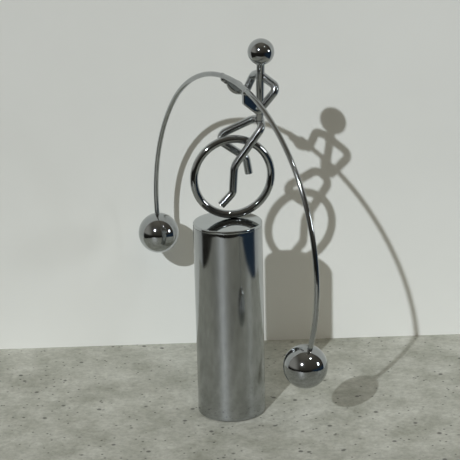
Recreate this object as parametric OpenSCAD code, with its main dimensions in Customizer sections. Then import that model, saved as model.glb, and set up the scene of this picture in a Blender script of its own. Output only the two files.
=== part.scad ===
// Balancing unicycle toy: a wire rider on a one-wire wheel, held upright on a polished
// stand by a long bar with a steel ball at each end.
// Millimetres. The origin is the middle of the base, on the surface that the toy stands on.
// X runs to the viewer's right, Y away from the viewer, Z up.

/* [Stand] */
// Outside diameter of the tube and of the cap
stand_d = 32; // [26:0.5:40]
// Height of the polished top above the surface the toy stands on
stand_h = 94; // [75:1:130]
// Wall of the tube
tube_wall = 1.2; // [0.8:0.1:2]
// Thickness of the cap where it covers the tube's end
cap_t = 1.3; // [1:0.1:3]
// Rounding of the cap's upper edge
cap_round = 0.6; // [0.2:0.1:0.9]
// Seam between the cap and the tube's end
cap_seam = 0.1; // [0.05:0.05:0.3]
// Length of the cap's journal inside the tube
journal_l = 9; // [5:1:20]
// Clearance round the journal, on the radius
journal_gap = 0.05; // [0.02:0.01:0.1]
// Thickness of the plug in the tube's foot
plug_t = 6; // [4:0.5:12]
// Length of the weight on the plug
ballast_l = 36; // [20:1:50]
// Clearance round the weight, on the radius
ballast_gap = 0.15; // [0.05:0.05:0.5]
// Thickness of the foot pad
pad_t = 1; // [0.6:0.1:2]
// How far the pad stands out below the tube
pad_proud = 0.4; // [0.2:0.1:0.5]
// Clearance round the pad, on the radius
pad_gap = 0.3; // [0.1:0.1:0.8]

/* [Ballast screw] */
// Diameter of the screw that holds the weight
screw_d = 4; // [3:0.5:6]
// Diameter of its countersunk head
screw_head_d = 7.5; // [7:0.5:11]
// Reach of the screw into the weight
screw_reach = 12; // [6:1:18]
// Clearance round the shank in the plug, on the radius
screw_gap = 0.2; // [0.1:0.05:0.4]

/* [Wheel] */
// Diameter of the wheel, to the middle of its wire
wheel_d = 36.2; // [34:0.1:40]
// Thickness of the wheel's wire
rim_wire = 3.7; // [3:0.1:4.2]
// Turn of the wheel on the stand, seen from above
wheel_yaw = 12; // [0:1:30]
// Lean of the wheel, its top towards the viewer
wheel_lean = 1.5; // [0:0.5:4]
// Where the wheel stands, to the right of the stand's middle
contact_x = 2.7; // [0:0.1:5]
// Where the wheel stands, behind the stand's middle
contact_y = 4.7; // [0:0.1:7]
// Gap between the wheel and the polished top
contact_gap = 0.02; // [0.01:0.01:0.05]

/* [Legs] */
// Thickness of the wire of the legs, the spine and the arms
body_wire = 3.7; // [3:0.1:4.2]
// Gap between the wheel and a leg that crosses it
leg_gap = 0.2; // [0.1:0.05:0.4]
// Near toe, forward and up from the wheel's middle
near_toe = [-6.5, -11.9]; // [-15:0.1:15]
// Near ankle
near_ankle = [-0.9, -6.3]; // [-15:0.1:15]
// Near knee
near_knee = [0, 6.4]; // [-15:0.1:15]
// Near side of the hip
near_hip = [13.8, 24.4]; // [5:0.1:35]
// Far side of the hip
far_hip = [12.2, 26.3]; // [5:0.1:35]
// Far knee
far_knee = [-7.5, 18.5]; // [-20:0.1:20]
// Far ankle
far_ankle = [7.3, 7.5]; // [-15:0.1:15]
// Far toe
far_toe = [8.5, -0.1]; // [-15:0.1:15]
// Radius of the near knee
knee_r = 8; // [3:0.5:9]
// Radius of the far knee and the ankles
ankle_r = 3.2; // [2.5:0.1:4]
// Radius of the hip's two bends
hip_r = 3.4; // [2.2:0.1:3.8]

/* [Body and arms] */
// Foot of the spine, from the middle of the hip
spine_seat = [-0.4, -1.5, 1.9]; // [-3:0.1:3]
// Height at which the arms cross the spine, from the wheel's middle
arm_h = 48.9; // [40:0.1:54]
// Middle of the head, across from the wheel's middle and up from the arms
head_at = [11.9, -8.8, 11.4]; // [-20:0.1:20]
// Diameter of the head
head_d = 12; // [9:0.5:16]
// How deep the arms' wire sits against the spine's
neck_sink = 0.3; // [0.1:0.1:0.6]
// Near elbow, from the neck
near_elbow = [6.2, -10.9, -4.3]; // [-15:0.1:15]
// Far elbow, from the neck
far_elbow = [-0.9, 6.7, -2.4]; // [-15:0.1:15]
// Radius of the elbows
elbow_r = 2.7; // [2:0.1:3.5]
// Radius of the bend behind the neck
neck_r = 3.5; // [2:0.1:5]
// Near hand, from its wrist to its end
near_hand = [-8.6, -3.1, 6.4]; // [-15:0.1:15]
// Far hand, from its wrist to its end
far_hand = [-8.9, -0.4, 6.2]; // [-15:0.1:15]
// Thickness of the flattened hands
hand_t = 2.2; // [1:0.1:2.4]
// Lower corner of the near hand, out and up from its wrist
near_heel = [2.5, -2]; // [-4:0.1:8]
// Height of the near hand's square end
near_end_h = 5.8; // [4:0.1:7]
// Width of the far hand's leaf
far_leaf_w = 6.2; // [4:0.1:7.5]
// Rounding of the far hand's tip
far_tip_r = 1.4; // [0.8:0.1:2]

/* [Balance bar] */
// Thickness of the bar's wire
bar_wire = 2.4; // [1.8:0.1:3]
// Crown of the bar, where its two sides begin, from the wheel's middle
crown_at = [1.6, -8.7, 46]; // [-20:0.1:60]
// Turn of the bar's plane, seen from above
bar_yaw = 19.6; // [0:0.1:40]
// Tilt of the bar's plane, its top away from the left
bar_tilt = 0.3; // [-3:0.1:3]
// Roll of the bar in its own plane, its far side up
bar_roll = 10.4; // [0:0.1:20]
// Radii of the far side's bends, from the crown to the ball
far_radii = [62, 83]; // [30:1:120]
// Sweeps of the far side's bends, in degrees
far_sweeps = [61.5, 45]; // [20:0.5:80]
// Radii of the near side's bends, from the crown to the ball
near_radii = [68, 81, 84]; // [30:1:120]
// Sweeps of the near side's bends, in degrees
near_sweeps = [22, 36.5, 41.5]; // [10:0.5:60]
// Far hand's place along the bar, from the crown
far_grip = 12.8; // [10:0.1:25]
// Near hand's place along the bar, from the crown
near_grip = 5.8; // [1:0.1:10]
// How deep the bar sits against the hands' upper edges
bar_sink = 0.3; // [0.1:0.1:0.6]
// Far hand's tip beyond the bar, to the right and away
far_past = [1.2, 0.3]; // [-2:0.1:2]
// Near hand's end beyond the bar, to the left
near_past = 1.1; // [0:0.1:3]
// Diameter of the far weight
far_ball_d = 20; // [16:0.5:25]
// Diameter of the near weight
near_ball_d = 20; // [16:0.5:25]

/* [Joints of the wires] */
// Depth of the drilled sockets in the balls and the head
socket_l = 4; // [2:0.5:5]
// Clearance round a wire in its socket, on the radius
socket_gap = 0.02; // [0:0.01:0.05]
// Radius of the bead at the hip
hip_bead_r = 2.3; // [2.1:0.1:3]
// Radius of the bead at the neck
neck_bead_r = 2.1; // [1.8:0.1:2.8]
// Radius of the beads between the hands and the bar
hand_bead_r = 1.5; // [1.3:0.05:2.2]
// Diameter of the beads where the legs cross the wheel
weld_d = 4.2; // [3.8:0.1:5]
// Clearance between a leg's bead and the wheel
weld_gap = 0.08; // [0.03:0.01:0.15]

/* [Hidden] */
$fa = 4;
$fs = 0.3;

// How much larger than its wire a knuckle is, on the radius
knuckle_rise = 0.02;
tube_bore = stand_d - 2 * tube_wall;
tube_top = stand_h - cap_t - cap_seam;
plug_top = pad_t + plug_t;
wheel_r = wheel_d / 2;

// The legs lie in two planes, one on each side of the wheel
leg_side = (body_wire + rim_wire) / 2 + leg_gap;
hip_middle = (in_plane(near_hip, -leg_side) + in_plane(far_hip, leg_side)) / 2;
leg_path = [in_plane(near_toe, -leg_side), in_plane(near_ankle, -leg_side),
            in_plane(near_knee, -leg_side), in_plane(near_hip, -leg_side),
            in_plane(far_hip, leg_side), in_plane(far_knee, leg_side),
            in_plane(far_ankle, leg_side), in_plane(far_toe, leg_side)];
leg_radii = [0, ankle_r, knee_r, hip_r, hip_r, ankle_r, ankle_r, 0];

// The spine runs from the hip to the bottom of the head's socket
spine_foot = hip_middle + spine_seat;
head_middle = head_at + [0, 0, arm_h];
spine_dir = unit(head_middle - spine_foot);
spine_top = head_middle - (head_d / 2 - socket_l) * spine_dir;
spine_neck = spine_foot + spine_dir * (arm_h - spine_foot.z) / spine_dir.z;
neck_at = spine_neck + [0, body_wire - neck_sink, 0];

// The bar's own directions: out towards the far ball, and up, before and after its roll
bar_level = [-sin(bar_yaw), cos(bar_yaw), 0];
bar_rise = [sin(bar_tilt) * cos(bar_yaw), sin(bar_tilt) * sin(bar_yaw), cos(bar_tilt)];
bar_out = cos(bar_roll) * bar_level + sin(bar_roll) * bar_rise;
bar_up = cos(bar_roll) * bar_rise - sin(bar_roll) * bar_level;
far_end = branch(far_radii, far_sweeps, len(far_radii));
near_end = branch(near_radii, near_sweeps, len(near_radii));
far_ball_at = on_bar(1, past_end(far_end, far_ball_d / 2));
near_ball_at = on_bar(-1, past_end(near_end, near_ball_d / 2));
far_grip_at = on_bar(1, along(far_radii[0], far_grip));
near_grip_at = on_bar(-1, along(near_radii[0], near_grip));

// The bar lies on the upper edges of the hands, near their ends
far_tip = far_grip_at + [far_past.x, far_past.y, bar_sink - bar_wire / 2 - far_tip_r];
near_tip = near_grip_at + [-near_past, 0, bar_sink - bar_wire / 2 - near_end_h / 2];
far_wrist = far_tip - far_hand;
near_wrist = near_tip - near_hand;
arm_path = [near_wrist, neck_at + near_elbow, neck_at, neck_at + far_elbow, far_wrist];
arm_radii = [0, elbow_r, neck_r, elbow_r, 0];

// A place beside the wheel: forward and up in its plane, and out along its axle
function in_plane(p, side) = [p.x, side, p.y];

function unit(v) = v / norm(v);

// Direction of a path's stretch, the angle of its bend, and the bend's reach
function heading(path, i) = unit(path[i + 1] - path[i]);
function turn(path, i) = acos(heading(path, i - 1) * heading(path, i));
function reach(path, radii, i) = radii[i] == 0 ? 0 : radii[i] * tan(turn(path, i) / 2);

// One side of the bar after n bends: how far out, how far up, and its dip in degrees
function branch(radii, sweeps, n) = n == 0 ? [0, 0, 0] :
    let (s = branch(radii, sweeps, n - 1), dip = s.z + sweeps[n - 1], r = radii[n - 1])
    [s.x + r * (sin(dip) - sin(s.z)), s.y + r * (cos(dip) - cos(s.z)), dip];

// A place straight on from the end of a side, and one on its first bend
function past_end(end, l) = [end.x + l * cos(end.z), end.y - l * sin(end.z)];
function along(r, l) = let (a = l / r * 180 / PI) [r * sin(a), r * (cos(a) - 1)];

// A place on the bar in the rider's frame; side is 1 for the far side, -1 for the near
function on_bar(side, p) = crown_at + side * p.x * bar_out + p.y * bar_up;

// The middle of a path's bend
function bend_middle(path, radii, i) =
    path[i] + unit(heading(path, i) - heading(path, i - 1)) * radii[i] * (1 / cos(turn(path, i) / 2) - 1);

// Where the line from p to q, both in the wheel's plane, crosses the wheel's wire
function crossing(p, q) =
    let (d = q - p, b = p * d, c = p * p - wheel_r * wheel_r)
    p + d * (sqrt(b * b - d * d * c) - b) / (d * d);

// The place on the wheel's wire that is nearest to p
function on_wheel(p) = wheel_r * unit([p.x, p.z]);

// Stands the rider's frame, centred on the wheel, on the polished top
module on_stand() {
    translate([contact_x, contact_y, stand_h + contact_gap + rim_wire / 2])
        rotate([0, 0, wheel_yaw])
            rotate([wheel_lean, 0, 0])
                translate([0, 0, wheel_r])
                    children();
}

// Turns z along a direction, at a place
module facing(at, dir) {
    translate(at)
        rotate([0, acos(dir.z), atan2(dir.y, dir.x)])
            children();
}

// A round rod from one place to another
module rod(from, to, d) {
    facing(from, unit(to - from))
        cylinder(h = norm(to - from), d = d);
}

// A bend of a wire at a corner, from one heading into another
module bend(corner, into, away, r, d) {
    angle = acos(into * away);
    inward = unit(away - (away * into) * into);
    middle = corner - into * r * tan(angle / 2) + inward * r;
    axis = cross(-inward, into);
    multmatrix([[-inward.x, into.x, axis.x, middle.x],
                [-inward.y, into.y, axis.y, middle.y],
                [-inward.z, into.z, axis.z, middle.z],
                [0, 0, 0, 1]])
        rotate_extrude(angle = angle)
            translate([r, 0])
                circle(d = d);
}

// A knuckle, a hair larger than the wire, joins two stretches of it
module knuckle(at, d) {
    translate(at) sphere(d = d + 2 * knuckle_rise);
}

// A wire bent along a path
module wire(path, radii, d) {
    last = len(path) - 1;
    for (i = [0 : last - 1]) {
        dir = heading(path, i);
        from = path[i] + dir * (i == 0 ? 0 : reach(path, radii, i));
        to = path[i + 1] - dir * (i + 1 == last ? 0 : reach(path, radii, i + 1));
        rod(from, to, d);
        if (i > 0) knuckle(from, d);
        if (i + 1 < last) knuckle(to, d);
    }
    for (i = [1 : last - 1])
        bend(path[i], heading(path, i - 1), heading(path, i), radii[i], d);
}

// One side of the bar in its own plane, with its straight end inside the ball
module bar_side(radii, sweeps) {
    for (i = [0 : len(radii) - 1]) {
        s = branch(radii, sweeps, i);
        r = radii[i];
        translate([s.x - r * sin(s.z), s.y - r * cos(s.z), 0])
            rotate([0, 0, 90 - s.z - sweeps[i]])
                rotate_extrude(angle = sweeps[i])
                    translate([r, 0])
                        circle(d = bar_wire);
        knuckle([s.x, s.y, 0], bar_wire);
    }
    end = branch(radii, sweeps, len(radii));
    rod([end.x, end.y, 0], concat(past_end(end, socket_l), 0), bar_wire);
    knuckle([end.x, end.y, 0], bar_wire);
}

// A steel ball with a drilled socket that points towards a place
module drilled_ball(at, d, towards, wire_d) {
    dir = unit(towards - at);
    difference() {
        translate(at) sphere(d = d);
        rod(at + dir * (d / 2 - socket_l), at + dir * d, wire_d + 2 * socket_gap);
    }
}

// A flattened hand on edge, from its wrist: the outline is drawn in its own upright plane
module hand(wrist, reach) {
    translate(wrist)
        rotate([0, 0, atan2(reach.y, reach.x)])
            rotate([90, 0, 0])
                translate([0, 0, -hand_t / 2])
                    linear_extrude(height = hand_t)
                        children();
}

module near_hand_outline() {
    out = norm([near_hand.x, near_hand.y]);
    polygon([[0, -body_wire / 2], near_heel, [out, near_hand.z - near_end_h / 2],
             [out, near_hand.z + near_end_h / 2], [-body_wire / 2, 0]]);
    circle(d = body_wire);
}

// Two arcs that meet at the wrist and at the tip make the leaf
module far_hand_outline() {
    out = norm([far_hand.x, far_hand.y]);
    l = norm([out, far_hand.z]) / 2;
    h = far_leaf_w / 2;
    r = (l * l + h * h) / (2 * h);
    rotate([0, 0, atan2(far_hand.z, out)])
        translate([l, 0])
            intersection() {
                translate([0, r - h]) circle(r = r);
                translate([0, h - r]) circle(r = r);
            }
    translate([out, far_hand.z]) circle(r = far_tip_r);
    circle(d = body_wire);
}

// The bead on a leg beside the wheel's wire, from the leg's middle to the clearance
module leg_weld(p, side) {
    rod(in_plane(p, side * (rim_wire / 2 + weld_gap)), in_plane(p, side * leg_side), weld_d);
}

module wheel_ring(d) {
    rotate([90, 0, 0])
        rotate_extrude()
            translate([wheel_r, 0])
                circle(d = d);
}

module pedestal_tube() {
    color("silver")
        difference() {
            translate([0, 0, pad_proud]) cylinder(h = tube_top - pad_proud, d = stand_d);
            cylinder(h = stand_h, d = tube_bore);
        }
}

module top_cap() {
    rim = stand_d / 2;
    color("silver") {
        translate([0, 0, stand_h - cap_t])
            rotate_extrude() {
                square([rim - cap_round, cap_t]);
                square([rim, cap_t - cap_round]);
                intersection() {
                    translate([rim - cap_round, cap_t - cap_round]) circle(r = cap_round);
                    square([rim, cap_t]);
                }
            }
        translate([0, 0, stand_h - cap_t - journal_l])
            cylinder(h = journal_l, d = tube_bore - 2 * journal_gap);
    }
}

module base_plug() {
    color("dimgray")
        difference() {
            translate([0, 0, pad_t]) cylinder(h = plug_t, d = tube_bore);
            cylinder(h = stand_h, d = screw_d + 2 * screw_gap);
            translate([0, 0, pad_t]) screw_head(screw_gap);
        }
}

module screw_head(gap) {
    cylinder(h = (screw_head_d - screw_d) / 2, d1 = screw_head_d + 2 * gap, d2 = screw_d + 2 * gap);
}

module ballast_slug() {
    color("dimgray")
        difference() {
            translate([0, 0, plug_top]) cylinder(h = ballast_l, d = tube_bore - 2 * ballast_gap);
            translate([0, 0, plug_top]) cylinder(h = screw_reach, d = screw_d);
        }
}

module ballast_screw() {
    color("gray")
        translate([0, 0, pad_t]) {
            screw_head(0);
            cylinder(h = plug_t + screw_reach, d = screw_d);
        }
}

module foot_pad() {
    color("black")
        cylinder(h = pad_t, d = tube_bore - 2 * pad_gap);
}

module wheel_rim() {
    color("silver") on_stand() wheel_ring(rim_wire);
}

module legs() {
    color("silver") on_stand() wire(leg_path, leg_radii, body_wire);
}

module torso() {
    color("silver") on_stand() rod(spine_foot, spine_top, body_wire);
}

module arms() {
    color("silver")
        on_stand() {
            wire(arm_path, arm_radii, body_wire);
            hand(near_wrist, near_hand) near_hand_outline();
            hand(far_wrist, far_hand) far_hand_outline();
        }
}

module head_ball() {
    color("silver") on_stand() drilled_ball(head_middle, head_d, spine_foot, body_wire);
}

module balance_bar() {
    color("silver")
        on_stand()
            translate(crown_at)
                rotate([0, 0, 90 + bar_yaw])
                    rotate([90 + bar_tilt, 0, 0])
                        rotate([0, 0, bar_roll]) {
                            bar_side(far_radii, far_sweeps);
                            mirror([1, 0, 0]) bar_side(near_radii, near_sweeps);
                        }
}

module weight_far() {
    color("silver")
        on_stand() drilled_ball(far_ball_at, far_ball_d, on_bar(1, far_end), bar_wire);
}

module weight_near() {
    color("silver")
        on_stand() drilled_ball(near_ball_at, near_ball_d, on_bar(-1, near_end), bar_wire);
}

module hip_braze() {
    color("gray") on_stand() translate((hip_middle + spine_foot) / 2) sphere(r = hip_bead_r);
}

module neck_braze() {
    color("gray") on_stand() translate((spine_neck + neck_at) / 2) sphere(r = neck_bead_r);
}

module hand_braze_far() {
    color("gray")
        on_stand() translate(far_grip_at - [0, 0, bar_wire / 2]) sphere(r = hand_bead_r);
}

module hand_braze_near() {
    color("gray")
        on_stand() translate(near_grip_at - [0, 0, bar_wire / 2]) sphere(r = hand_bead_r);
}

module leg_weld_near() {
    color("gray") on_stand() leg_weld(crossing(near_knee, near_hip), -1);
}

module leg_weld_far() {
    color("gray") on_stand() leg_weld(on_wheel(bend_middle(leg_path, leg_radii, 5)), 1);
}

pedestal_tube();
top_cap();
base_plug();
ballast_slug();
ballast_screw();
foot_pad();
wheel_rim();
legs();
torso();
arms();
head_ball();
balance_bar();
weight_far();
weight_near();
hip_braze();
neck_braze();
hand_braze_far();
hand_braze_near();
leg_weld_near();
leg_weld_far();
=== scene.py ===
"""Balancing unicycle toy: a plated wire rider on a one-wire wheel, rocking on a polished stand.

Sizes are in millimetres, in the stand's own frame, and are turned to metres when a mesh is made.
"""
from math import acos, ceil, copysign, cos, pi, radians, sin, sqrt, tan

import bmesh
import bpy
from mathutils import Matrix, Vector


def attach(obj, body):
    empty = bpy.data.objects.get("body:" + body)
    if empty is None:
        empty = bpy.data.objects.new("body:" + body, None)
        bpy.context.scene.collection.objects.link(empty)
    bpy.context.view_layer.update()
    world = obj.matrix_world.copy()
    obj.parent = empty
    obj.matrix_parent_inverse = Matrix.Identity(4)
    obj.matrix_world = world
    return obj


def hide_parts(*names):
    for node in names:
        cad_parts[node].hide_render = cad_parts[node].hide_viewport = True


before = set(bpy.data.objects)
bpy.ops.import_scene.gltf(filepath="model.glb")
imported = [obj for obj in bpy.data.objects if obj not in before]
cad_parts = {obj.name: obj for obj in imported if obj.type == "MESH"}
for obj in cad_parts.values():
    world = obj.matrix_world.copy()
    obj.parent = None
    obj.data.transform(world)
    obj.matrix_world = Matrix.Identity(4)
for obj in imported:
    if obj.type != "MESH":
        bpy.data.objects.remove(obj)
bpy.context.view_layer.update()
MM = 0.001

# The stand
STAND_D = 32
STAND_H = 94
CAP_T = 1.3
CAP_ROUND = 0.6
CAP_SEAM = 0.1
TUBE_WALL = 1.2
PAD_PROUD = 0.4
FOOT_ROUND = 0.35
SEAM_ROUND = 0.12
BORE_CHAMFER = 0.1
EDGE_INSET = 0.05
JOURNAL_L = 9
JOURNAL_GAP = 0.05
JOURNAL_CHAMFER = 0.4
JOURNAL_FLARE = (0.05, 0.02)
CAP_EDGE_INSET = 0.03
CAP_HUB_R = 0.5
STAND_SEGMENTS = 192
TUBE_RINGS = 60

# The wheel and how it stands
WHEEL_D = 36.2
RIM_WIRE = 3.7
WHEEL_YAW = 12
WHEEL_LEAN = 1.5
CONTACT = (2.7, 4.7)
CONTACT_GAP = 0.02

# The rider's wire, as places from the wheel's middle
BODY_WIRE = 3.7
LEG_GAP = 0.2
NEAR_LEG = [(-6.5, -11.9), (-0.9, -6.3), (0, 6.4), (13.8, 24.4)]
FAR_LEG = [(12.2, 26.3), (-7.5, 18.5), (7.3, 7.5), (8.5, -0.1)]
KNEE_R = 8
ANKLE_R = 3.2
HIP_R = 3.4
SPINE_SEAT = (-0.4, -1.5, 1.9)
ARM_H = 48.9
HEAD_ABOVE_ARMS = 11.4
HEAD_AT = (11.9, -8.8, ARM_H + HEAD_ABOVE_ARMS)
HEAD_D = 12
NECK_SINK = 0.3
NEAR_ELBOW = (6.2, -10.9, -4.3)
FAR_ELBOW = (-0.9, 6.7, -2.4)
ELBOW_R = 2.7
NECK_R = 3.5
WRIST_R = 1.2
NEAR_HAND = (-8.6, -3.1, 6.4)
FAR_HAND = (-8.9, -0.4, 6.2)
HAND_T = 2.2
NEAR_HEEL = (2.5, -2)
NEAR_END_H = 5.8
FAR_LEAF_W = 6.2
FAR_TIP_R = 1.4

# The wire's cut ends, as shares of its radius, and the hub as a share of the flat face
CUT_EDGE = 0.22
CUT_HUB = 0.55
CUT_HUB_RISE = 0.004
CUT_STEPS = 4

# The hammered hands: how soon the round wire turns flat, and how square its section gets
HAND_INTO_ARM = 0.3
ARMS_SHARE = 0.995
ROUND_POWER = 2
NEAR_FLAT_BY = 0.45
NEAR_POWER = 5
NEAR_CUT_POWER = 7
NEAR_CUT_LOSS = 0.35
NEAR_RINGS = 48
FAR_FLAT_BY = 0.4
FAR_POWER = 3.6
FAR_ROOT_L = 1.2
FAR_ROOT_FADE = 3
FAR_RINGS = 56

# The near hand's cut end: where each ring's height is read, how far out it is, and its thickness
NEAR_CUT_RINGS = ((0.02, 0.06, 0.93), (0.0, 0.12, 0.85))

# The far hand's tip: how its rings crowd together, where they stop, and how thin it gets
TIP_CROWDING = 1.6
TIP_STOP = 0.002
TIP_HALF_W = 0.02
TIP_THIN = 0.003

# The balance bar and its weights
BAR_WIRE = 2.4
CROWN_AT = (1.6, -8.7, 46)
BAR_YAW = 19.6
BAR_TILT = 0.3
BAR_ROLL = 10.4
FAR_RADII = (62, 83)
FAR_SWEEPS = (61.5, 45)
NEAR_RADII = (68, 81, 84)
NEAR_SWEEPS = (22, 36.5, 41.5)
FAR_GRIP = 12.8
NEAR_GRIP = 5.8
BAR_SINK = 0.3
FAR_PAST = (1.2, 0.3)
NEAR_PAST = 1.1
BALL_D = 20
SOCKET_L = 4
COLLAR_W = 0.35
COLLAR_H = 0.28
COLLAR_RINGS = 6
BALL_BORE_SLACK = 0.03
BALL_RINGS = 120
BALL_SEGMENTS = 144

# The beads of the joints
HIP_BEAD_R = 2.3
NECK_BEAD_R = 2.1
HAND_BEAD_R = 1.5
WELD_D = 4.2
WELD_GAP = 0.08
WELD_SEGMENTS = 64
HIP_RUN = 3.2
NECK_RUN = 2
NECK_SWELL = 0.15
HAND_RUN = 1.6
HAND_BEAD_ASIDE = 0.9
HAND_BEAD_ASIDE_R = 0.72 * HAND_BEAD_R
BRAZE_OVER_BODY = 0.05
BRAZE_OVER_BAR = 0.04
BRAZE_FLOW = 0.5
BRAZE_ROUNDS = 10
BRAZE_VOXEL = 0.16
HAND_BRAZE_VOXEL = 0.12

# The camera and the room, measured from the stand
CAMERA_AT = (1.018, -791.6, 351.6)
CAMERA_PITCH = 18.307
CAMERA_ROLL = -1.3296
CAMERA_LENS = 141.43
CAMERA_SENSOR = 36
CAMERA_SEES = (0.01, 20)
WALL_Y = 85.7
WALL_TURN = 1.5
WALL_HALF_W = 700
WALL_FOOT = -150
WALL_TOP = 900
COUNTER_FRONT = -290
# The counter's colour is painted darker, as shade, from this depth out to its front edge
COUNTER_SHADE_FROM = -45
COUNTER_LEFT = -225
COUNTER_RIGHT = 205
COUNTER_PAST_WALL = 20

# Where the light comes from, as directions from the stand's top
FAR_LAMP_FROM = (-0.330, -0.7971, 0.499)
WARM_FILL_FROM = (0.1, -0.8, 0.6)
SECOND_LAMP_FROM = (0.435, -0.434, 0.790)
WINDOW_FROM = (0.915, -0.327, 0.2345)

# Points of a mesh that lie closer than this, in metres, are one point
MERGE_WITHIN = 1e-7


def placed(v):
    """A place measured from the wheel's middle, in the stand's frame."""
    return ON_STAND @ Vector(v)


def wheel_frame():
    """Stands the rider's frame, centred on the wheel, on the polished top."""
    at = Vector((CONTACT[0], CONTACT[1], STAND_H + CONTACT_GAP + RIM_WIRE / 2))
    return (Matrix.Translation(at) @ Matrix.Rotation(radians(WHEEL_YAW), 4, "Z")
            @ Matrix.Rotation(radians(WHEEL_LEAN), 4, "X")
            @ Matrix.Translation((0, 0, WHEEL_D / 2)))


ON_STAND = wheel_frame()


# Paths of the wires

def bent_path(corners, radii, step=0.35):
    """Points along a wire that is bent round its corners, each with its own radius."""
    corners = [Vector(c) for c in corners]
    stops = [corners[0]]
    for i in range(1, len(corners) - 1):
        into = (corners[i] - corners[i - 1]).normalized()
        away = (corners[i + 1] - corners[i]).normalized()
        angle = into.angle(away)
        reach = radii[i] * tan(angle / 2)
        inward = (away - into * away.dot(into)).normalized()
        middle = corners[i] - into * reach + inward * radii[i]
        count = max(6, ceil(angle * radii[i] / step))
        arc = [middle + radii[i] * (sin(angle * k / count) * into - cos(angle * k / count) * inward)
               for k in range(count + 1)]
        stops += arc
    stops.append(corners[-1])
    points = [stops[0]]
    for a, b in zip(stops, stops[1:]):
        count = max(1, round((b - a).length / step)) if (b - a).length > 2 * step else 1
        points += [a + (b - a) * (k / count) for k in range(1, count + 1)]
    return points


def bar_directions():
    level = Vector((-sin(radians(BAR_YAW)), cos(radians(BAR_YAW)), 0))
    rise = Vector((sin(radians(BAR_TILT)) * cos(radians(BAR_YAW)),
                   sin(radians(BAR_TILT)) * sin(radians(BAR_YAW)), cos(radians(BAR_TILT))))
    roll = radians(BAR_ROLL)
    return cos(roll) * level + sin(roll) * rise, cos(roll) * rise - sin(roll) * level


BAR_OUT, BAR_UP = bar_directions()


def on_bar(side, out, up):
    return Vector(CROWN_AT) + side * out * BAR_OUT + up * BAR_UP


def bar_side(side, bends, sweeps, step=0.5):
    """Points of one side of the bar from the crown outwards, and the middle of its ball."""
    x = y = dip = 0.0
    points = []
    for r, sweep in zip(bends, sweeps):
        count = ceil(radians(sweep) * r / step)
        start = radians(dip)
        for k in range(1, count + 1):
            a = start + radians(sweep) * k / count
            points.append(on_bar(side, x + r * (sin(a) - sin(start)), y + r * (cos(a) - cos(start))))
        end = start + radians(sweep)
        x, y = x + r * (sin(end) - sin(start)), y + r * (cos(end) - cos(start))
        dip += sweep
    end = radians(dip)
    ball = on_bar(side, x + BALL_D / 2 * cos(end), y - BALL_D / 2 * sin(end))
    return points, ball


def cut_end(radius):
    """How far from a wire's cut end each ring stands, and its share of the full radius."""
    face = 1 - CUT_EDGE
    rings = [(0.0, CUT_HUB * face), (CUT_HUB_RISE * radius, face)]
    for k in range(1, CUT_STEPS + 1):
        turn = pi / 2 * k / CUT_STEPS
        rings.append((CUT_EDGE * radius * (1 - cos(turn)), face + CUT_EDGE * sin(turn)))
    return rings


def with_cut_ends(points, radius):
    """The path with closely spaced rings at both ends, and the swell of each ring."""
    rings = cut_end(radius)
    first = (points[1] - points[0]).normalized()
    last = (points[-2] - points[-1]).normalized()
    head = [(points[0] + first * s, w) for s, w in rings]
    tail = [(points[-1] + last * s, w) for s, w in reversed(rings)]
    middle = [(p, 1.0) for p in points[2:-2]]
    return head + middle + tail


# Meshes

def new_object(name, mesh, finish, body, stands_for=()):
    obj = bpy.data.objects.new(name, mesh)
    bpy.context.scene.collection.objects.link(obj)
    mesh.materials.clear()
    mesh.materials.append(finish)
    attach(obj, body)
    if stands_for:
        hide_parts(*stands_for)
    return obj


def tidy_normals(mesh):
    """Merges doubled points, turns every face outwards and shades the mesh smooth."""
    bm = bmesh.new()
    bm.from_mesh(mesh)
    bmesh.ops.remove_doubles(bm, verts=bm.verts, dist=MERGE_WITHIN)
    bmesh.ops.recalc_face_normals(bm, faces=bm.faces)
    bm.to_mesh(mesh)
    bm.free()
    mesh.polygons.foreach_set("use_smooth", [True] * len(mesh.polygons))
    mesh.update()
    return mesh


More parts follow.
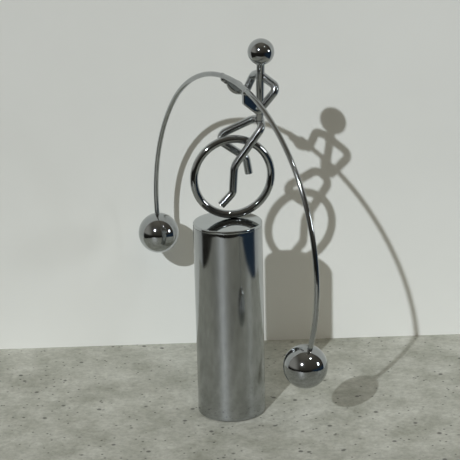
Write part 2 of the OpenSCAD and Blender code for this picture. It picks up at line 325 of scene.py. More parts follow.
def drawn_wire_tree():
    """Geometry nodes that draw a round wire along a path of edges."""
    tree = bpy.data.node_groups.new("wire_drawn_along_path", "GeometryNodeTree")
    add_socket = tree.interface.new_socket
    add_socket("Path", in_out="INPUT", socket_type="NodeSocketGeometry")
    add_socket("Wire Radius", in_out="INPUT", socket_type="NodeSocketFloat")
    add_socket("Sides", in_out="INPUT", socket_type="NodeSocketInt")
    add_socket("Finish", in_out="INPUT", socket_type="NodeSocketMaterial")
    add_socket("Wire", in_out="OUTPUT", socket_type="NodeSocketGeometry")
    new, link = tree.nodes.new, tree.links.new
    given = new("NodeGroupInput")
    made = new("NodeGroupOutput")
    curve = new("GeometryNodeMeshToCurve")
    swell = new("GeometryNodeInputNamedAttribute")
    swell.data_type = "FLOAT"
    swell.inputs["Name"].default_value = "swell"
    widen = new("GeometryNodeSetCurveRadius")
    direction = new("GeometryNodeInputTangent")
    keep = new("GeometryNodeStoreNamedAttribute")
    keep.data_type = "FLOAT_VECTOR"
    keep.inputs["Name"].default_value = "along"
    ring = new("GeometryNodeCurvePrimitiveCircle")
    sweep = new("GeometryNodeCurveToMesh")
    sweep.inputs["Fill Caps"].default_value = True
    real = new("GeometryNodeRealizeInstances")
    paint = new("GeometryNodeSetMaterial")
    link(given.outputs["Path"], curve.inputs["Mesh"])
    link(curve.outputs["Curve"], widen.inputs["Curve"])
    link(swell.outputs["Attribute"], widen.inputs["Radius"])
    link(given.outputs["Sides"], ring.inputs["Resolution"])
    link(given.outputs["Wire Radius"], ring.inputs["Radius"])
    link(widen.outputs["Curve"], keep.inputs["Geometry"])
    link(direction.outputs["Tangent"], keep.inputs["Value"])
    link(keep.outputs["Geometry"], sweep.inputs["Curve"])
    link(ring.outputs["Curve"], sweep.inputs["Profile Curve"])
    link(sweep.outputs["Mesh"], real.inputs["Geometry"])
    link(real.outputs["Geometry"], paint.inputs["Geometry"])
    link(given.outputs["Finish"], paint.inputs["Material"])
    link(paint.outputs["Geometry"], made.inputs["Wire"])
    return tree


def drawn_wire(name, path, wire_d, finish, body, stands_for=(), closed=False, sides=40):
    """A wire along a path of (place, swell) in the stand's frame."""
    mesh = bpy.data.meshes.new(name)
    count = len(path)
    edges = [(i, i + 1) for i in range(count - 1)] + ([(count - 1, 0)] if closed else [])
    mesh.from_pydata([p * MM for p, _ in path], edges, [])
    swell = mesh.attributes.new("swell", "FLOAT", "POINT")
    swell.data.foreach_set("value", [w for _, w in path])
    obj = bpy.data.objects.new(name, mesh)
    bpy.context.scene.collection.objects.link(obj)
    mod = obj.modifiers.new("wire", "NODES")
    mod.node_group = WIRE_TREE
    values = {"Wire Radius": wire_d / 2 * MM, "Sides": sides, "Finish": finish}
    for item in WIRE_TREE.interface.items_tree:
        if item.in_out == "INPUT" and item.name in values:
            mod[item.identifier] = values[item.name]
    bpy.context.view_layer.update()
    drawn = bpy.data.meshes.new_from_object(obj.evaluated_get(bpy.context.evaluated_depsgraph_get()))
    bpy.data.objects.remove(obj)
    drawn.name = name
    return new_object(name, tidy_normals(drawn), finish, body, stands_for)


def turned_mesh(name, profile, segments, at=(0, 0, 0), along=(0, 0, 1)):
    """A profile of (radius, height) turned round an axis; a radius of 0 closes a pole."""
    turn = Vector(along).to_track_quat("Z", "Y").to_matrix().to_4x4()
    place = Matrix.Translation(Vector(at)) @ turn
    verts, rings = [], []
    for r, z in profile:
        count = segments if r > 0 else 1
        rings.append(list(range(len(verts), len(verts) + count)))
        turns = [2 * pi * k / count for k in range(count)]
        verts += [place @ Vector((r * cos(a), r * sin(a), z)) * MM for a in turns]
    faces = []
    for low, high in zip(rings, rings[1:]):
        for k in range(segments):
            j = (k + 1) % segments
            if len(low) == 1:
                faces.append((low[0], high[j], high[k]))
            elif len(high) == 1:
                faces.append((low[k], low[j], high[0]))
            else:
                faces.append((low[k], low[j], high[j], high[k]))
    mesh = bpy.data.meshes.new(name)
    mesh.from_pydata(verts, [], faces)
    return tidy_normals(mesh)


def quarter(r, z, radius, start, count=6):
    """A rounded edge round (r, z), from an angle in degrees over the next 90."""
    turns = [radians(start + 90 * k / count) for k in range(count + 1)]
    return [(r + radius * cos(a), z + radius * sin(a)) for a in turns]


def flat_rings(r_from, r_to, z, count=3):
    """Extra rings on a flat face, which keep its shading flat up to the edge."""
    return [(r_from + (r_to - r_from) * k / count, z) for k in range(count + 1)]


def loft_mesh(name, sections):
    """A closed skin over rings of equal length, capped at both ends."""
    size = len(sections[0])
    verts = [p * MM for ring in sections for p in ring]
    faces = []
    for i in range(len(sections) - 1):
        for k in range(size):
            j = (k + 1) % size
            faces.append((i * size + k, i * size + j, (i + 1) * size + j, (i + 1) * size + k))
    for i, ring in ((0, sections[0]), (len(sections) - 1, sections[-1])):
        middle = sum(ring, Vector()) / size
        verts.append(middle * MM)
        hub = len(verts) - 1
        faces += [(i * size + k, i * size + (k + 1) % size, hub) for k in range(size)]
    mesh = bpy.data.meshes.new(name)
    mesh.from_pydata(verts, [], faces)
    return tidy_normals(mesh)


def squared_ring(middle, up, across, half_up, half_across, power, count=48):
    """A ring between an ellipse, at a power of 2, and a rectangle, at higher powers."""
    ring = []
    for k in range(count):
        a = 2 * pi * k / count
        x = copysign(abs(cos(a)) ** (2 / power), cos(a))
        y = copysign(abs(sin(a)) ** (2 / power), sin(a))
        ring.append(middle + up * half_up * x + across * half_across * y)
    return ring


def brazed_lump(name, blobs, rods, stands_for, voxel):
    """Blobs and stretches of wire, run together as braze runs round a joint."""
    bm = bmesh.new()
    for at, r in blobs:
        place = Matrix.Translation(placed(at) * MM)
        bmesh.ops.create_icosphere(bm, subdivisions=4, radius=r * MM, matrix=place)
    for a, b, r in rods:
        a, b = placed(a), placed(b)
        turn = (b - a).to_track_quat("Z", "Y").to_matrix().to_4x4()
        place = Matrix.Translation((a + b) / 2 * MM) @ turn
        bmesh.ops.create_cone(bm, cap_ends=True, segments=32, radius1=r * MM, radius2=r * MM,
                              depth=(b - a).length * MM, matrix=place)
    mesh = bpy.data.meshes.new(name)
    bm.to_mesh(mesh)
    bm.free()
    obj = bpy.data.objects.new(name, mesh)
    bpy.context.scene.collection.objects.link(obj)
    skin = obj.modifiers.new("skin", "REMESH")
    skin.mode = "VOXEL"
    skin.voxel_size = voxel * MM
    flow = obj.modifiers.new("flow", "SMOOTH")
    flow.factor = BRAZE_FLOW
    flow.iterations = BRAZE_ROUNDS
    bpy.context.view_layer.update()
    run = bpy.data.meshes.new_from_object(obj.evaluated_get(bpy.context.evaluated_depsgraph_get()))
    bpy.data.objects.remove(obj)
    return new_object(name, tidy_normals(run), PLATED_BEAD, "rider", stands_for)


# Finishes

def new_finish(name, metallic, roughness):
    finish = bpy.data.materials.new(name)
    finish.use_nodes = True
    shader = finish.node_tree.nodes["Principled BSDF"]
    shader.inputs["Metallic"].default_value = metallic
    shader.inputs["Roughness"].default_value = roughness
    return finish, shader, finish.node_tree.nodes.new, finish.node_tree.links.new


def object_place(new):
    return new("ShaderNodeTexCoord").outputs["Object"]


def grain(new, link, scale, detail, roughness, stretch=(1, 1, 1)):
    """Noise on Object coordinates; its scale is in cells to a metre."""
    spread = new("ShaderNodeMapping")
    spread.inputs["Scale"].default_value = stretch
    cells = new("ShaderNodeTexNoise")
    cells.inputs["Scale"].default_value = scale
    cells.inputs["Detail"].default_value = detail
    cells.inputs["Roughness"].default_value = roughness
    link(object_place(new), spread.inputs["Vector"])
    link(spread.outputs["Vector"], cells.inputs["Vector"])
    return cells.outputs["Fac"]


def ramp(new, link, source, stops):
    """Colour or value stops as (place, (r, g, b))."""
    band = new("ShaderNodeValToRGB")
    band.color_ramp.elements[0].position = stops[0][0]
    band.color_ramp.elements[0].color = (*stops[0][1], 1)
    band.color_ramp.elements[1].position = stops[-1][0]
    band.color_ramp.elements[1].color = (*stops[-1][1], 1)
    for place, colour in stops[1:-1]:
        band.color_ramp.elements.new(place).color = (*colour, 1)
    link(source, band.inputs["Fac"])
    return band.outputs["Color"]


def grey(v):
    return (v, v, v)


def multiplied(new, link, colour, shade):
    both = new("ShaderNodeMix")
    both.data_type = "RGBA"
    both.blend_type = "MULTIPLY"
    both.inputs["Factor"].default_value = 1.0
    link(colour, both.inputs["A"])
    link(shade, both.inputs["B"])
    return both.outputs["Result"]


def add_bump(new, link, shader, height, strength, depth):
    bump = new("ShaderNodeBump")
    bump.inputs["Strength"].default_value = strength
    bump.inputs["Distance"].default_value = depth * MM
    link(height, bump.inputs["Height"])
    link(bump.outputs["Normal"], shader.inputs["Normal"])


def plated_finish(name, dark, light, gloss, haze, bump, peel_scale=700, depth=0.02):
    """Bright plate: faint clouding in its colour, haze in its gloss, and slight orange peel."""
    finish, shader, new, link = new_finish(name, metallic=1.0, roughness=gloss)
    clouds = grain(new, link, scale=90, detail=3, roughness=0.6)
    link(ramp(new, link, clouds, [(0.3, dark), (0.7, light)]), shader.inputs["Base Color"])
    mist = grain(new, link, scale=260, detail=5, roughness=0.65)
    link(ramp(new, link, mist, [(0.35, grey(gloss)), (0.75, grey(haze))]), shader.inputs["Roughness"])
    peel = grain(new, link, scale=peel_scale, detail=3, roughness=0.5)
    add_bump(new, link, shader, peel, bump, depth)
    return finish


def polished_round(finish):
    """Marks that run round a drawn wire smear its highlights along it."""
    new, link = finish.node_tree.nodes.new, finish.node_tree.links.new
    shader = finish.node_tree.nodes["Principled BSDF"]
    shader.inputs["Anisotropic"].default_value = 1.0
    kept = new("ShaderNodeAttribute")
    kept.attribute_name = "along"
    turned = new("ShaderNodeVectorTransform")
    turned.vector_type = "VECTOR"
    turned.convert_from, turned.convert_to = "OBJECT", "WORLD"
    link(kept.outputs["Vector"], turned.inputs["Vector"])
    link(turned.outputs["Vector"], shader.inputs["Tangent"])
    return finish


def tube_finish():
    """The polished tube: its polishing marks run round it and smear what it mirrors up and down."""
    finish, shader, new, link = new_finish("polished_tube", metallic=1.0, roughness=0.16)
    shader.inputs["Anisotropic"].default_value = 0.95
    lie = new("ShaderNodeTangent")
    lie.direction_type = "RADIAL"
    lie.axis = "Z"
    link(lie.outputs["Tangent"], shader.inputs["Tangent"])
    wiped = grain(new, link, scale=60, detail=4, roughness=0.6, stretch=(1, 1, 0.12))
    tone = ramp(new, link, wiped, [(0.3, (0.37, 0.385, 0.39)), (0.7, (0.45, 0.465, 0.47))])
    link(tone, shader.inputs["Base Color"])
    haze = grain(new, link, scale=160, detail=6, roughness=0.7, stretch=(1, 1, 0.35))
    gloss = ramp(new, link, haze, [(0.35, grey(0.09)), (0.55, grey(0.12)), (0.8, grey(0.18))])
    link(gloss, shader.inputs["Roughness"])
    rings = grain(new, link, scale=2600, detail=4, roughness=0.6, stretch=(0.05, 0.05, 1))
    add_bump(new, link, shader, rings, strength=0.12, depth=0.01)
    return finish


def rough_finish(name, metallic, roughness, dark, light, scale, bump, depth):
    """A coarse, uneven surface: turned steel, cast metal or rubber."""
    finish, shader, new, link = new_finish(name, metallic, roughness)
    cells = grain(new, link, scale, detail=6, roughness=0.65)
    link(ramp(new, link, cells, [(0.3, dark), (0.7, light)]), shader.inputs["Base Color"])
    add_bump(new, link, shader, grain(new, link, scale * 4, detail=4, roughness=0.6), bump, depth)
    return finish


LIMB_TONES = (0.34, 0.36, 0.37), (0.42, 0.44, 0.45)
PLATED_WIRE = plated_finish("plated_wire", (0.36, 0.375, 0.38), (0.44, 0.455, 0.46),
                            gloss=0.045, haze=0.08, bump=0.08)
PLATED_LEGS = polished_round(plated_finish("plated_legs", *LIMB_TONES, gloss=0.105, haze=0.13, bump=0.08))
PLATED_ARMS = polished_round(plated_finish("plated_arms", *LIMB_TONES, gloss=0.135, haze=0.165, bump=0.08))
PLATED_HAND = plated_finish("plated_hand", (0.37, 0.385, 0.39), (0.45, 0.465, 0.47),
                            gloss=0.09, haze=0.16, bump=0.5, peel_scale=420, depth=0.12)
PLATED_BAR = plated_finish("plated_bar", (0.38, 0.395, 0.40), (0.47, 0.485, 0.49),
                           gloss=0.07, haze=0.12, bump=0.12)
PLATED_BALL = plated_finish("plated_ball", (0.38, 0.395, 0.40), (0.43, 0.445, 0.45),
                            gloss=0.07, haze=0.10, bump=0.05, peel_scale=420)
PLATED_BEAD = plated_finish("plated_bead", (0.36, 0.375, 0.38), (0.46, 0.475, 0.48),
                            gloss=0.12, haze=0.2, bump=0.25, peel_scale=1100)
POLISHED_CAP = plated_finish("polished_cap", (0.48, 0.505, 0.51), (0.53, 0.555, 0.56),
                             gloss=0.03, haze=0.06, bump=0.03, peel_scale=900)
POLISHED_TUBE = tube_finish()
TURNED_STEEL = rough_finish("turned_steel", metallic=1.0, roughness=0.38, dark=grey(0.42),
                            light=grey(0.55), scale=900, bump=0.3, depth=0.03)
CAST_BALLAST = rough_finish("cast_ballast", metallic=0.8, roughness=0.62, dark=grey(0.10),
                            light=grey(0.2), scale=500, bump=0.6, depth=0.1)
FOOT_RUBBER = rough_finish("foot_rubber", metallic=0.0, roughness=0.8, dark=grey(0.02),
                           light=grey(0.04), scale=700, bump=0.5, depth=0.06)
WIRE_TREE = drawn_wire_tree()


# The stand

def make_tube():
    rim = STAND_D / 2
    bore = rim - TUBE_WALL
    top = STAND_H - CAP_T - CAP_SEAM
    low, high = PAD_PROUD + FOOT_ROUND, top - SEAM_ROUND
    outside = [(rim, low + (high - low) * k / TUBE_RINGS) for k in range(1, TUBE_RINGS)]
    profile = (flat_rings(bore + BORE_CHAMFER, rim - FOOT_ROUND - EDGE_INSET, PAD_PROUD)
               + quarter(rim - FOOT_ROUND, PAD_PROUD + FOOT_ROUND, FOOT_ROUND, -90) + outside
               + quarter(rim - SEAM_ROUND, high, SEAM_ROUND, 0)
               + flat_rings(rim - SEAM_ROUND - EDGE_INSET, bore + BORE_CHAMFER, top)
               + [(bore, top - BORE_CHAMFER), (bore, PAD_PROUD + BORE_CHAMFER),
                  (bore + BORE_CHAMFER, PAD_PROUD)])
    new_object("stand_tube", turned_mesh("stand_tube", profile, STAND_SEGMENTS), POLISHED_TUBE,
               "pedestal", ["pedestal_tube"])


def make_cap():
    rim = STAND_D / 2
    under = STAND_H - CAP_T
    foot = under - JOURNAL_L
    journal = rim - TUBE_WALL - JOURNAL_GAP
    flare_w, flare_h = JOURNAL_FLARE
    profile = ([(0, foot), (journal - JOURNAL_CHAMFER, foot), (journal, foot + JOURNAL_CHAMFER),
                (journal, under - flare_h), (journal + flare_w, under)]
               + flat_rings(journal + 2 * flare_w, rim - SEAM_ROUND - EDGE_INSET, under)
               + quarter(rim - SEAM_ROUND, under + SEAM_ROUND, SEAM_ROUND, -90)
               + quarter(rim - CAP_ROUND, STAND_H - CAP_ROUND, CAP_ROUND, 0, count=10)
               + flat_rings(rim - CAP_ROUND - CAP_EDGE_INSET, CAP_HUB_R, STAND_H, count=12)
               + [(0, STAND_H)])
    new_object("stand_cap", turned_mesh("stand_cap", profile, STAND_SEGMENTS), POLISHED_CAP,
               "cap", ["top_cap"])


def finish_foot():
    for node, finish in (("base_plug", TURNED_STEEL), ("ballast_screw", TURNED_STEEL),
                         ("ballast_slug", CAST_BALLAST), ("foot_pad", FOOT_RUBBER)):
        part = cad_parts[node]
        part.data.materials.clear()
        part.data.materials.append(finish)


# The wheel and the rider

LEG_SIDE = (BODY_WIRE + RIM_WIRE) / 2 + LEG_GAP


def beside_wheel(p, side):
    return Vector((p[0], side * LEG_SIDE, p[1]))


LEG_PATH = [beside_wheel(p, -1) for p in NEAR_LEG] + [beside_wheel(p, 1) for p in FAR_LEG]
LEG_RADII = [0, ANKLE_R, KNEE_R, HIP_R, HIP_R, ANKLE_R, ANKLE_R, 0]
HIP_MIDDLE = (LEG_PATH[3] + LEG_PATH[4]) / 2
SPINE_FOOT = HIP_MIDDLE + Vector(SPINE_SEAT)
SPINE_DIR = (Vector(HEAD_AT) - SPINE_FOOT).normalized()
SPINE_NECK = SPINE_FOOT + SPINE_DIR * ((ARM_H - SPINE_FOOT.z) / SPINE_DIR.z)
NECK_AT = SPINE_NECK + Vector((0, BODY_WIRE - NECK_SINK, 0))


def along_bar(side, bend_r, length):
    a = length / bend_r
    return on_bar(side, bend_r * sin(a), bend_r * (cos(a) - 1))


FAR_GRIP_AT = along_bar(1, FAR_RADII[0], FAR_GRIP)
NEAR_GRIP_AT = along_bar(-1, NEAR_RADII[0], NEAR_GRIP)
FAR_WRIST = FAR_GRIP_AT + Vector((*FAR_PAST, BAR_SINK - BAR_WIRE / 2 - FAR_TIP_R)) - Vector(FAR_HAND)
NEAR_WRIST = (NEAR_GRIP_AT + Vector((-NEAR_PAST, 0, BAR_SINK - BAR_WIRE / 2 - NEAR_END_H / 2))
              - Vector(NEAR_HAND))


def make_wheel():
    count = 240
    r = WHEEL_D / 2
    turns = [2 * pi * k / count for k in range(count)]
    ring = [(placed((r * cos(a), 0, r * sin(a))), 1.0) for a in turns]
    drawn_wire("wheel", ring, RIM_WIRE, PLATED_WIRE, "wheel", ["wheel_rim"], closed=True)


def make_legs():
    path = with_cut_ends([placed(p) for p in bent_path(LEG_PATH, LEG_RADII)], BODY_WIRE / 2)
    drawn_wire("legs_wire", path, BODY_WIRE, PLATED_LEGS, "rider", ["legs"])


def make_spine():
    top = Vector(HEAD_AT) - SPINE_DIR * (HEAD_D / 2 - SOCKET_L)
    path = with_cut_ends([placed(p) for p in bent_path([SPINE_FOOT, top], [0, 0])], BODY_WIRE / 2)
    drawn_wire("spine_wire", path, BODY_WIRE, PLATED_WIRE, "rider", ["torso"])


def make_arms():
    into_near = NEAR_WRIST + Vector(NEAR_HAND) * HAND_INTO_ARM
    into_far = FAR_WRIST + Vector(FAR_HAND) * HAND_INTO_ARM
    corners = [into_near, NEAR_WRIST, NECK_AT + Vector(NEAR_ELBOW), NECK_AT, NECK_AT + Vector(FAR_ELBOW),
               FAR_WRIST, into_far]
    turns = [0, WRIST_R, ELBOW_R, NECK_R, ELBOW_R, WRIST_R, 0]
    path = [(placed(p), 1.0) for p in bent_path(corners, turns)]
    drawn_wire("arms_wire", path, BODY_WIRE * ARMS_SHARE, PLATED_ARMS, "rider", ["arms"])


def between(stops, x):
    """Straight interpolation in a list of (x, y)."""
    for (xa, ya), (xb, yb) in zip(stops, stops[1:]):
        if x <= xb:
            return ya + (yb - ya) * (x - xa) / (xb - xa)
    return stops[-1][1]


def eased(t):
    """A soft step from 0 to 1, level at both ends."""
    t = min(max(t, 0), 1)
    return t * t * (3 - 2 * t)


def hammered(share, power):
    """Half the thickness of a wire that is hammered flat by a share, and its section's power."""
    flat = eased(share)
    return (BODY_WIRE + (HAND_T - BODY_WIRE) * flat) / 2, ROUND_POWER + (power - ROUND_POWER) * flat


def make_near_hand():
    """The wire's end is hammered flat and cut square."""
    out = Vector((NEAR_HAND[0], NEAR_HAND[1], 0))
    length = out.length
    out.normalize()
    up = Vector((0, 0, 1))
    across = out.cross(up)
    lower = [(0, -BODY_WIRE / 2), NEAR_HEEL, (length, NEAR_HAND[2] - NEAR_END_H / 2)]
    upper = [(0, BODY_WIRE / 2), (length, NEAR_HAND[2] + NEAR_END_H / 2)]

    def height(x):
        low, high = between(lower, x), between(upper, x)
        return up * (low + high) / 2, (high - low) / 2

    rings = []
    for k in range(NEAR_RINGS + 1):
        x = length * k / NEAR_RINGS
        rise, half_h = height(x)
        half_t, power = hammered(x / (NEAR_FLAT_BY * length), NEAR_POWER)
        rings.append(squared_ring(NEAR_WRIST + out * x + rise, up, across, half_h, half_t, power))
    for back, past, share in NEAR_CUT_RINGS:
        rise, half_h = height(length - back)
        half_h *= 1 - (1 - share) * NEAR_CUT_LOSS
        middle = NEAR_WRIST + out * (length + past) + rise
        rings.append(squared_ring(middle, up, across, half_h, HAND_T / 2 * share, NEAR_CUT_POWER))
    mesh = loft_mesh("near_hand", [[placed(p) for p in ring] for ring in rings])
    new_object("near_hand", mesh, PLATED_HAND, "rider", ["arms"])


def make_far_hand():
    """The wire's end is hammered to a leaf with a round tip."""
    along = Vector(FAR_HAND)
    length = along.length
    along.normalize()
    across = along.cross(Vector((0, 0, 1))).normalized()
    up = across.cross(along)
    half, rise = length / 2, FAR_LEAF_W / 2
    arc = (half * half + rise * rise) / (2 * rise)
    full = length + FAR_TIP_R
    rings = []
    for k in range(FAR_RINGS + 1):
        s = min(full * (1 - cos(pi / 2 * k / FAR_RINGS) ** TIP_CROWDING), full - TIP_STOP)
        leaf = sqrt(max(arc * arc - (s - half) ** 2, 0)) - (arc - rise) if s < length else 0
        tip = sqrt(max(FAR_TIP_R ** 2 - (s - length) ** 2, 0)) if s > length - FAR_TIP_R else 0
        root = BODY_WIRE / 2 * (1 - eased((s - FAR_ROOT_L) / FAR_ROOT_FADE))
        half_w = max(leaf, tip, root, TIP_HALF_W)
        half_t, power = hammered(s / (FAR_FLAT_BY * length), FAR_POWER)
        half_t *= sqrt(max(1 - max(s - length, 0) ** 2 / FAR_TIP_R ** 2, TIP_THIN))
        rings.append(squared_ring(FAR_WRIST + along * s, up, across, half_w, half_t, power))
    mesh = loft_mesh("far_hand", [[placed(p) for p in ring] for ring in rings])
    new_object("far_hand", mesh, PLATED_HAND, "rider", ["arms"])


def make_bar():
    far, far_ball = bar_side(1, FAR_RADII, FAR_SWEEPS)
    near, near_ball = bar_side(-1, NEAR_RADII, NEAR_SWEEPS)
    far_dir = (far_ball - far[-1]).normalized()
    near_dir = (near_ball - near[-1]).normalized()
    middle = near[::-1] + [Vector(CROWN_AT)] + far
    path = [near[-1] + near_dir * SOCKET_L] + middle + [far[-1] + far_dir * SOCKET_L]
    drawn_wire("bar_wire", [(placed(p), 1.0) for p in path], BAR_WIRE, PLATED_BAR, "rider",
               ["balance_bar"], sides=36)
    make_ball("far_weight", far_ball, BALL_D, -far_dir, BAR_WIRE, "weight_far")
    make_ball("near_weight", near_ball, BALL_D, -near_dir, BAR_WIRE, "weight_near")


def make_head():
    make_ball("head", Vector(HEAD_AT), HEAD_D, -SPINE_DIR, BODY_WIRE, "head_ball")


def make_ball(name, at, ball_d, towards_wire, wire_d, node):
    """A polished ball with a small collar of braze where its wire goes in."""
    ball_r, wire_r = ball_d / 2, wire_d / 2
    edge = acos((wire_r + COLLAR_W) / ball_r)
    lip = ball_r * sin(edge)
    turns = [-pi / 2 + (edge + pi / 2) * k / BALL_RINGS for k in range(1, BALL_RINGS + 1)]
    skin = [(0, -ball_r)] + [(ball_r * cos(a), ball_r * sin(a)) for a in turns]
    turns = [pi / 2 * k / COLLAR_RINGS for k in range(1, COLLAR_RINGS + 1)]
    collar = [(wire_r + COLLAR_W * (1 - sin(a)), lip + COLLAR_H * (1 - cos(a))) for a in turns]
    bore = wire_r - BALL_BORE_SLACK
    inside = [(bore, lip + COLLAR_H), (bore, lip - SOCKET_L), (0, lip - SOCKET_L)]
    aim = (ON_STAND.to_3x3() @ Vector(towards_wire)).normalized()
    mesh = turned_mesh(name, skin + collar + inside, BALL_SEGMENTS, placed(at), aim)
    new_object(name, mesh, PLATED_BALL, "rider", [node])


def make_beads():
    over_body = BODY_WIRE / 2 + BRAZE_OVER_BODY
    over_bar = BAR_WIRE / 2 + BRAZE_OVER_BAR
    brazed_lump("hip_braze_run", [((HIP_MIDDLE + SPINE_FOOT) / 2, HIP_BEAD_R)],
                [(SPINE_FOOT, SPINE_FOOT + SPINE_DIR * HIP_RUN, over_body)], ["hip_braze"], BRAZE_VOXEL)
    run = SPINE_DIR * NECK_RUN
    brazed_lump("neck_braze_run", [((SPINE_NECK + NECK_AT) / 2, NECK_BEAD_R + NECK_SWELL)],
                [(SPINE_NECK - run, SPINE_NECK + run, over_body)], ["neck_braze"], BRAZE_VOXEL)
    run, aside = BAR_OUT * HAND_RUN, BAR_OUT * HAND_BEAD_ASIDE
    for name, grip, node in (("far_hand_braze_run", FAR_GRIP_AT, "hand_braze_far"),
                             ("near_hand_braze_run", NEAR_GRIP_AT, "hand_braze_near")):
        foot = grip - Vector((0, 0, BAR_WIRE / 2))
        blobs = [(foot, HAND_BEAD_R), (foot + aside, HAND_BEAD_ASIDE_R), (foot - aside, HAND_BEAD_ASIDE_R)]
        brazed_lump(name, blobs, [(grip - run, grip + run, over_bar)], [node], HAND_BRAZE_VOXEL)


def leg_bead_profile(length):
    """A weld bead: rounded where it faces the wheel, and drawn in where it enters the leg."""
    waist = WELD_D / 2
    foot = [(0.35, 0.0), (0.12, 0.08), (0.02, 0.25), (0.0, 0.5)]
    shoulder = [(0.0, 0.45), (0.05, 0.6), (0.2, 0.8), (0.5, 1.0)]
    return ([(0, 0)] + [(waist - inset, rise) for inset, rise in foot]
            + [(waist - inset, length * share) for inset, share in shoulder] + [(0, length)])


def crossing(p, q):
    """Where the line from p to q, in the wheel's plane, crosses the wheel's wire."""
    p, q = Vector(p), Vector(q)
    d = q - p
    b, c, dd = p.dot(d), p.dot(p) - (WHEEL_D / 2) ** 2, d.dot(d)
    return p + d * ((sqrt(b * b - dd * c) - b) / dd)


def far_knee_middle():
    """The middle of the far knee's bend, carried out to the wheel's wire."""
    hip, knee, ankle = (Vector(p) for p in FAR_LEG[:3])
    into, away = (knee - hip).normalized(), (ankle - knee).normalized()
    turn = acos(into.dot(away))
    at = knee + (away - into).normalized() * ANKLE_R * (1 / cos(turn / 2) - 1)
    return at.normalized() * WHEEL_D / 2


def make_leg_beads():
    length = LEG_SIDE - RIM_WIRE / 2 - WELD_GAP
    near_at, far_at = crossing(NEAR_LEG[2], NEAR_LEG[3]), far_knee_middle()
    for name, at, side, node in (("near_leg_bead", near_at, -1, "leg_weld_near"),
                                 ("far_leg_bead", far_at, 1, "leg_weld_far")):
        inner = Vector((at[0], side * (RIM_WIRE / 2 + WELD_GAP), at[1]))
        aim = ON_STAND.to_3x3() @ Vector((0, side, 0))
        mesh = turned_mesh(name, leg_bead_profile(length), WELD_SEGMENTS, placed(inner), aim)
        new_object(name, mesh, PLATED_BEAD, "rider", [node])


make_tube()
make_cap()
finish_foot()
make_wheel()
make_legs()
make_spine()
make_arms()
make_near_hand()
make_far_hand()
make_bar()
make_head()
make_beads()
make_leg_beads()


# The counter, the wall and the light

def stage_plane(name, corners, finish):
    """The counter or the wall, from four corners in millimetres."""
    mesh = bpy.data.meshes.new(name)
    mesh.from_pydata([Vector(c) * MM for c in corners], [], [(0, 1, 2, 3)])
    mesh.materials.append(finish)
    obj = bpy.data.objects.new(name, mesh)
    bpy.context.scene.collection.objects.link(obj)


def counter_finish():
    """Pale grey stone, clouded, with a fine grain and small dark pits, and painted shade that darkens it
    towards the front.
    """
    pit_core, pit_shade = 0.55, 0.32
    finish, shader, new, link = new_finish("counter_stone", metallic=0.0, roughness=0.55)
    clouds = grain(new, link, scale=40, detail=6, roughness=0.68)
    base = ramp(new, link, clouds, [(0.34, (0.315, 0.32, 0.265)), (0.66, (0.565, 0.57, 0.51))])
    fine = grain(new, link, scale=420, detail=4, roughness=0.7)
    specks = ramp(new, link, fine, [(0.3, grey(0.78)), (0.5, grey(1.0)), (0.7, grey(1.14))])
    base = multiplied(new, link, base, specks)
    for spread, size in ((230, 0.16), (95, 0.13)):
        pits = new("ShaderNodeTexVoronoi")
        pits.inputs["Scale"].default_value = spread
        link(object_place(new), pits.inputs["Vector"])
        spots = ramp(new, link, pits.outputs["Distance"],
                     [(size * pit_core, grey(pit_shade)), (size, grey(1.0))])
        base = multiplied(new, link, base, spots)
    # Painted shade: the stone's colour is darkened from a set depth out to the counter's front edge, nearer
    # the camera
    split = new("ShaderNodeSeparateXYZ")
    link(object_place(new), split.inputs["Vector"])
    nearness = new("ShaderNodeMapRange")
    nearness.inputs["From Min"].default_value = COUNTER_FRONT * MM
    nearness.inputs["From Max"].default_value = COUNTER_SHADE_FROM * MM
    link(split.outputs["Y"], nearness.inputs["Value"])
    dim = ramp(new, link, nearness.outputs["Result"],
               [(0.0, grey(0.78)), (0.6, grey(0.72)), (1.0, grey(1.0))])
    link(multiplied(new, link, base, dim), shader.inputs["Base Color"])
    return finish


def wall_finish():
    """A white painted wall, clear from behind so that other views see past it."""
    finish, shader, new, link = new_finish("painted_wall", metallic=0.0, roughness=0.6)
    clouds = grain(new, link, scale=9, detail=4, roughness=0.6)
    link(ramp(new, link, clouds, [(0.3, (0.74, 0.755, 0.72)), (0.7, (0.78, 0.795, 0.76))]),
         shader.inputs["Base Color"])
    side = new("ShaderNodeNewGeometry")
    clear = new("ShaderNodeBsdfTransparent")
    choice = new("ShaderNodeMixShader")
    link(side.outputs["Backfacing"], choice.inputs["Fac"])
    link(shader.outputs["BSDF"], choice.inputs[1])
    link(clear.outputs["BSDF"], choice.inputs[2])
    link(choice.outputs["Shader"], finish.node_tree.nodes["Material Output"].inputs["Surface"])
    return finish


def make_room():
    back = WALL_Y + COUNTER_PAST_WALL
    stage_plane("counter", [(COUNTER_LEFT, COUNTER_FRONT, 0), (COUNTER_RIGHT, COUNTER_FRONT, 0),
                            (COUNTER_RIGHT, back, 0), (COUNTER_LEFT, back, 0)], counter_finish())
    slope = WALL_HALF_W * tan(radians(WALL_TURN))
    left, right = (-WALL_HALF_W, WALL_Y - slope), (WALL_HALF_W, WALL_Y + slope)
    stage_plane("wall", [(*left, WALL_FOOT), (*right, WALL_FOOT), (*right, WALL_TOP), (*left, WALL_TOP)],
                wall_finish())


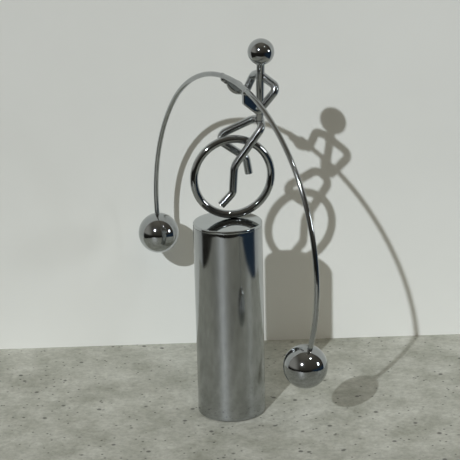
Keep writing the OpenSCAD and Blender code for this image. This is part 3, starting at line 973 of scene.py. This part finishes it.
def add_lamp(name, towards, distance, watts, size, colour, height=None):
    """A lamp that looks at the stand's top from a direction; its sizes are in metres."""
    lamp = bpy.data.lights.new(name, "AREA")
    lamp.shape = "DISK" if height is None else "RECTANGLE"
    lamp.size = size
    if height is not None:
        lamp.size_y = height
    lamp.energy = watts
    lamp.color = colour
    obj = bpy.data.objects.new(name, lamp)
    towards = Vector(towards).normalized()
    obj.location = Vector((0, 0, STAND_H * MM)) + towards * distance
    obj.rotation_mode = "QUATERNION"
    obj.rotation_quaternion = towards.to_track_quat("Z", "Y")
    bpy.context.scene.collection.objects.link(obj)
    return obj


def add_sun(towards, strength, spread, colour):
    """One far lamp, so that the shadows are as large as what casts them."""
    lamp = bpy.data.lights.new("far_lamp", "SUN")
    lamp.energy = strength
    lamp.angle = radians(spread)
    lamp.color = colour
    obj = bpy.data.objects.new("far_lamp", lamp)
    obj.rotation_mode = "QUATERNION"
    obj.rotation_quaternion = Vector(towards).normalized().to_track_quat("Z", "Y")
    bpy.context.scene.collection.objects.link(obj)


def band(new, link, source, dark_at, bright_at):
    """A soft step from 0 to 1 between two values."""
    share = new("ShaderNodeMapRange")
    share.interpolation_type = "SMOOTHSTEP"
    share.inputs["From Min"].default_value = dark_at
    share.inputs["From Max"].default_value = bright_at
    link(source, share.inputs["Value"])
    return share.outputs["Result"]


def lit_zone(new, link, split, room, x_band, z_band, colour):
    """Another colour in the part of the world that both bands take in."""
    both = new("ShaderNodeMath")
    both.operation = "MULTIPLY"
    link(band(new, link, split.outputs["X"], *x_band), both.inputs[0])
    link(band(new, link, split.outputs["Z"], *z_band), both.inputs[1])
    blend = new("ShaderNodeMix")
    blend.data_type = "RGBA"
    link(both.outputs["Value"], blend.inputs["Factor"])
    link(room, blend.inputs["A"])
    blend.inputs["B"].default_value = (*colour, 1)
    return blend.outputs["Result"]


def make_world():
    """A dim room: dark below, paler overhead and to the left, and dark blue low at the right."""
    world = bpy.data.worlds.new("dim_room")
    bpy.context.scene.world = world
    world.use_nodes = True
    new, link = world.node_tree.nodes.new, world.node_tree.links.new
    split = new("ShaderNodeSeparateXYZ")
    link(new("ShaderNodeTexCoord").outputs["Generated"], split.inputs["Vector"])
    rise = new("ShaderNodeMapRange")
    rise.inputs["From Min"].default_value = -1
    link(split.outputs["Z"], rise.inputs["Value"])
    room = ramp(new, link, rise.outputs["Result"],
                [(0.0, (0.02, 0.019, 0.016)), (0.48, (0.02, 0.019, 0.016)), (0.54, (0.055, 0.05, 0.041)),
                 (0.7, (0.078, 0.071, 0.059)), (0.86, (0.096, 0.089, 0.074)), (1.0, (0.185, 0.172, 0.142))])
    room = lit_zone(new, link, split, room, x_band=(-0.5, -0.9), z_band=(-0.06, 0.1),
                    colour=(0.37, 0.36, 0.33))
    room = lit_zone(new, link, split, room, x_band=(0.4, 0.72), z_band=(0.06, -0.06),
                    colour=(0.02, 0.036, 0.058))
    backdrop = world.node_tree.nodes["Background"]
    link(room, backdrop.inputs["Color"])
    backdrop.inputs["Strength"].default_value = 1.0


def make_camera():
    camera = bpy.data.cameras.new("camera")
    camera.lens = CAMERA_LENS
    camera.sensor_width = CAMERA_SENSOR
    camera.clip_start, camera.clip_end = CAMERA_SEES
    obj = bpy.data.objects.new("camera", camera)
    ahead = Vector((0, cos(radians(CAMERA_PITCH)), -sin(radians(CAMERA_PITCH))))
    right = Vector((1, 0, 0))
    up = right.cross(ahead)
    roll = radians(CAMERA_ROLL)
    side, top = cos(roll) * right + sin(roll) * up, -sin(roll) * right + cos(roll) * up
    turn = Matrix((side, top, -ahead)).transposed().to_4x4()
    obj.matrix_world = Matrix.Translation(Vector(CAMERA_AT) * MM) @ turn
    bpy.context.scene.collection.objects.link(obj)
    bpy.context.scene.camera = obj


def make_lamps():
    """The far lamp, a warm fill that the chrome doesn't mirror, and two lamps that it does."""
    add_sun(FAR_LAMP_FROM, strength=1.97, spread=0.8, colour=(0.92, 0.96, 1.0))
    fill = add_lamp("warm_fill", WARM_FILL_FROM, distance=1.5, watts=1.5, size=1.2,
                    colour=(1.0, 0.66, 0.25))
    fill.visible_glossy = False
    add_lamp("second_lamp", SECOND_LAMP_FROM, distance=1.4, watts=1.0, size=0.05,
             colour=(0.95, 0.98, 1.0))
    add_lamp("window", WINDOW_FROM, distance=1.2, watts=1.7, size=0.13, colour=(0.9, 0.96, 1.0),
             height=0.19)


make_room()
make_world()
make_camera()
make_lamps()
bpy.context.scene.view_settings.view_transform = "Standard"
